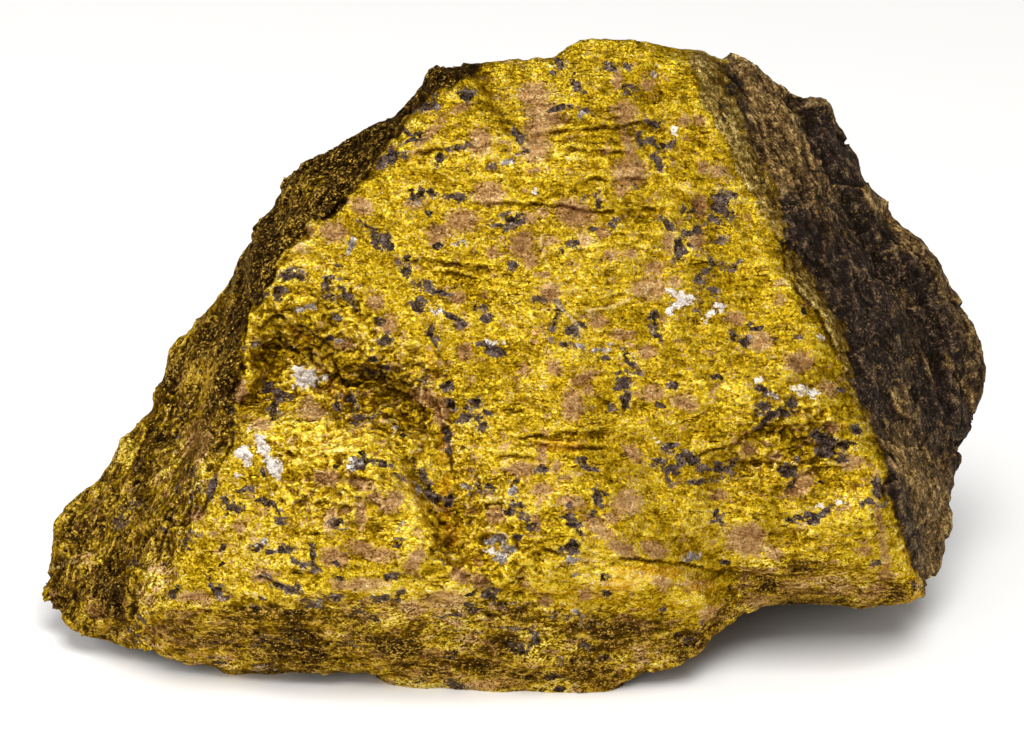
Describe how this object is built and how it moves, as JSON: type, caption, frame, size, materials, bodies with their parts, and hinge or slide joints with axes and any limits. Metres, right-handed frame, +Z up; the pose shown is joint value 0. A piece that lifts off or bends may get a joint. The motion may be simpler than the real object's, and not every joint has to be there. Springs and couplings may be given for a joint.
{
  "type": "mineral specimen",
  "caption": "Broken lump of massive chalcopyrite ore: big hackly gold fracture face, a hollow low on its left, a dark weathered flank on its right. Rests on a flat underside.",
  "frame": {"origin": "middle of the specimen's box in X and Y, at the height of the surface it rests on", "axes": "+X to the right along the big fracture face, which is the longest extent; +Y away from the viewer of that face; +Z up"},
  "size_m": [0.0842, 0.0476, 0.0509],
  "materials": {
    "chalcopyrite_ore": "hackly metallic sulphide, satin, with dark plates and a weathered brown-black flank"
  },
  "bodies": {
    "root": {"chalcopyrite_specimen": "chalcopyrite_ore"}
  },
  "joints": []
}
